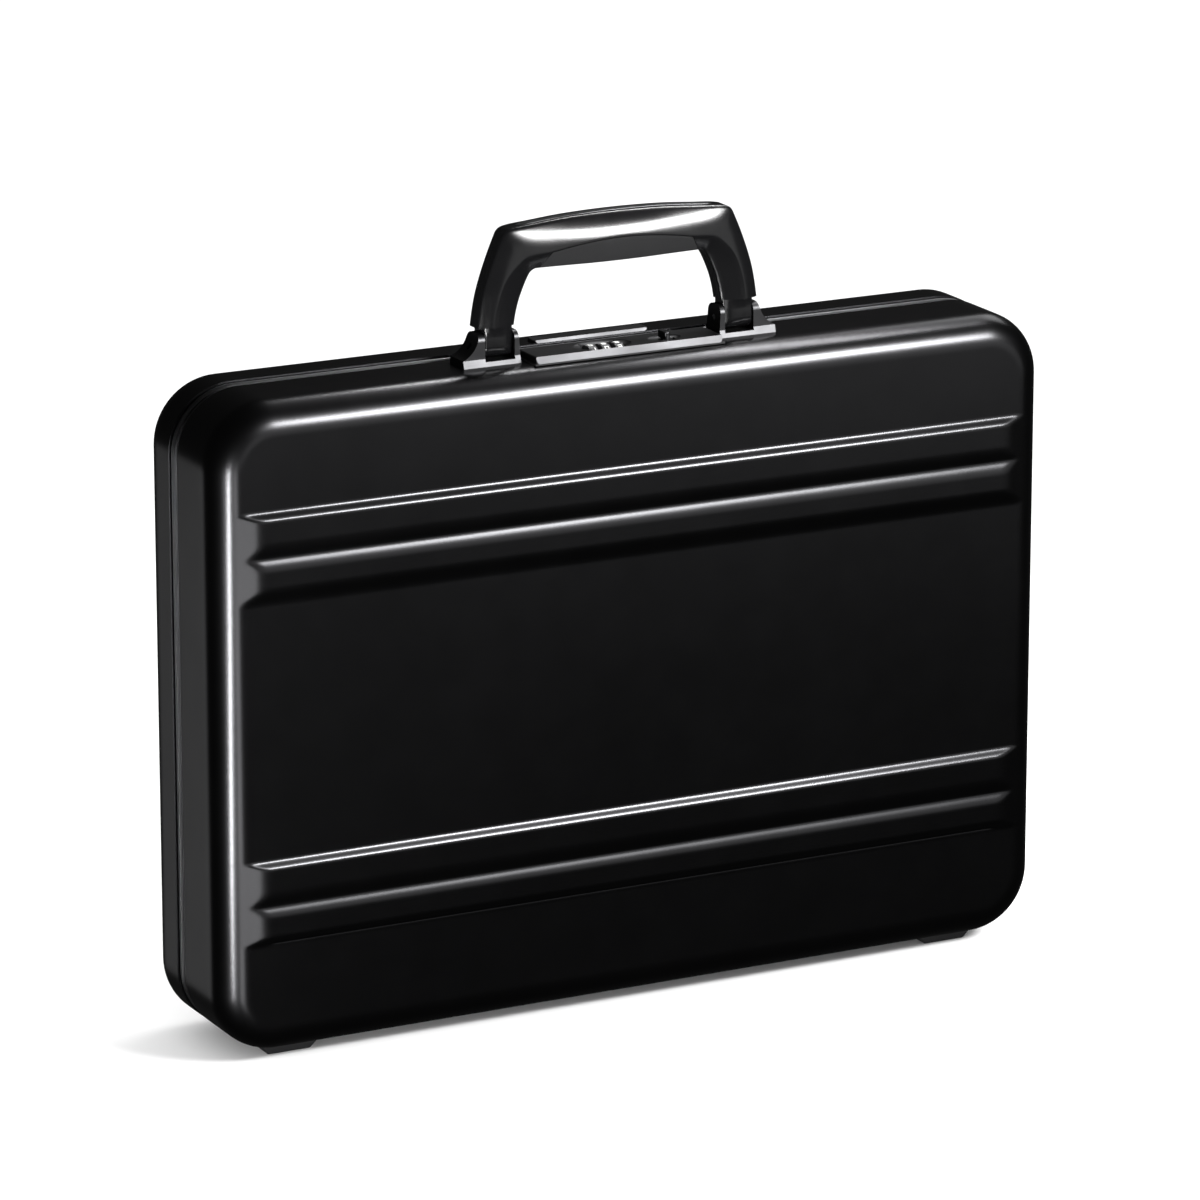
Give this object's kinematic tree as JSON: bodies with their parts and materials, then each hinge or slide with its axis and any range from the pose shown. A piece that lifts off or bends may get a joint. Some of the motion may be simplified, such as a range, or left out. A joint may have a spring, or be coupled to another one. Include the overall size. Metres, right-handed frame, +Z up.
{
  "type": "attache case",
  "caption": "Slim hard-sided attache case: two ribbed drawn aluminium shells on mating frames, with a folding carry handle, combination lock, bottom hinge, feet and lid stays.",
  "frame": {"origin": "on the floor under the middle of the case, which stands on its feet", "axes": "+X along the handle to the right, +Y from the base shell to the lid, +Z up"},
  "size_m": [0.445, 0.0862, 0.391],
  "materials": {
    "shell": "black anodised, fine satin grain",
    "frame": "black anodised extrusion",
    "seal": "matte",
    "lining": "woven cloth over thin padding",
    "pocket": "grained",
    "foot": "matte moulded",
    "handle_skin": "semi-gloss",
    "grip": "soft matte",
    "trim": "gloss",
    "bushing": "moulded nylon",
    "black_metal": "black satin",
    "black_plastic": "satin",
    "steel": "plain",
    "hinge": "black satin",
    "dial": null
  },
  "bodies": {
    "base": {"base_shell": "shell", "base_frame": "frame", "frame_gasket": "seal", "base_lining": "lining", "handle_bracket_left": "black_metal", "handle_bracket_right": "black_metal", "handle_pins": "steel", "bracket_backing_plates": "steel", "bracket_rivets": "steel", "lock_plate": "black_metal", "lock_underplate": "black_plastic", "lock_case": "steel", "lock_screws": "steel", "dial_shaft": "steel", "dial_detent_spring": "steel", "base_feet": "foot", "base_foot_screws": "steel", "hinge_leaf_base": "hinge", "hinge_pin": "hinge", "hinge_rivets_base": "hinge", "stay_brackets_base": "steel", "release_spring": "steel"},
    "lid": {"lid_shell": "shell", "lid_frame": "frame", "lid_lining": "lining", "catch_plate": "black_metal", "catch_rivets": "steel", "catch_striker": "steel", "lid_feet": "foot", "lid_foot_screws": "steel", "hinge_leaf_lid": "hinge", "hinge_rivets_lid": "hinge", "stay_brackets_lid": "steel", "document_pocket": "pocket", "pen_loops": "pocket"},
    "handle": {"handle_body": "handle_skin", "handle_grip_insert": "grip", "handle_top_strip": "trim", "handle_bushings": "bushing", "grip_screws": "steel"},
    "dial_wheel_1": {"dial_1": "dial"},
    "dial_wheel_2": {"dial_2": "dial"},
    "dial_wheel_3": {"dial_3": "dial"},
    "release": {"release_knob": "black_metal", "latch_bar": "steel"},
    "lower_stay_left": {"stay_lower_left": "steel", "stay_rivet_left": "steel"},
    "lower_stay_right": {"stay_lower_right": "steel", "stay_rivet_right": "steel"},
    "upper_stay_left": {"stay_upper_left": "steel"},
    "upper_stay_right": {"stay_upper_right": "steel"}
  },
  "joints": [
    {"name": "lid_hinge", "type": "hinge", "parent": "base", "child": "lid", "pos_m": [0, 0.0057, 0.004], "axis": [-1, 0, 0], "range_deg": [0, 95]},
    {"name": "handle_pivot", "type": "hinge", "parent": "base", "child": "handle", "pos_m": [0, -0.0115, 0.332], "axis": [1, 0, 0], "range_deg": [-86, 90]},
    {"name": "dial_1_turn", "type": "hinge", "parent": "base", "child": "dial_wheel_1", "pos_m": [-0.0172, -0.0196, 0.3201], "axis": [1, 0, 0], "continuous": true},
    {"name": "dial_2_turn", "type": "hinge", "parent": "base", "child": "dial_wheel_2", "pos_m": [-0.0102, -0.0196, 0.3201], "axis": [1, 0, 0], "continuous": true},
    {"name": "dial_3_turn", "type": "hinge", "parent": "base", "child": "dial_wheel_3", "pos_m": [-0.0032, -0.0196, 0.3201], "axis": [1, 0, 0], "continuous": true},
    {"name": "release_slide", "type": "slide", "parent": "base", "child": "release", "axis": [1, 0, 0], "range_m": [0, 0.0045], "stiffness_N_per_m": 300, "springref_m": -0.004, "deforming": ["release_spring"]},
    {"name": "lower_stay_left_pivot", "type": "hinge", "parent": "base", "child": "lower_stay_left", "pos_m": [-0.2138, -0.0063, 0.11334], "axis": [-1, 0, 0], "range_deg": [0, 95]},
    {"name": "upper_stay_left_pivot", "type": "hinge", "parent": "lid", "child": "upper_stay_left", "pos_m": [-0.2122, 0.0177, 0.11334], "axis": [1, 0, 0], "range_deg": [0, 95]},
    {"name": "lower_stay_right_pivot", "type": "hinge", "parent": "base", "child": "lower_stay_right", "pos_m": [0.2138, -0.0063, 0.11334], "axis": [-1, 0, 0], "range_deg": [0, 95]},
    {"name": "upper_stay_right_pivot", "type": "hinge", "parent": "lid", "child": "upper_stay_right", "pos_m": [0.2122, 0.0177, 0.11334], "axis": [1, 0, 0], "range_deg": [0, 95]}
  ],
  "couplings": [
    {"joint": "lower_stay_left_pivot", "follows": "lid_hinge", "ratio": 1},
    {"joint": "upper_stay_left_pivot", "follows": "lid_hinge", "ratio": 1},
    {"joint": "lower_stay_right_pivot", "follows": "lid_hinge", "ratio": 1},
    {"joint": "upper_stay_right_pivot", "follows": "lid_hinge", "ratio": 1}
  ]
}
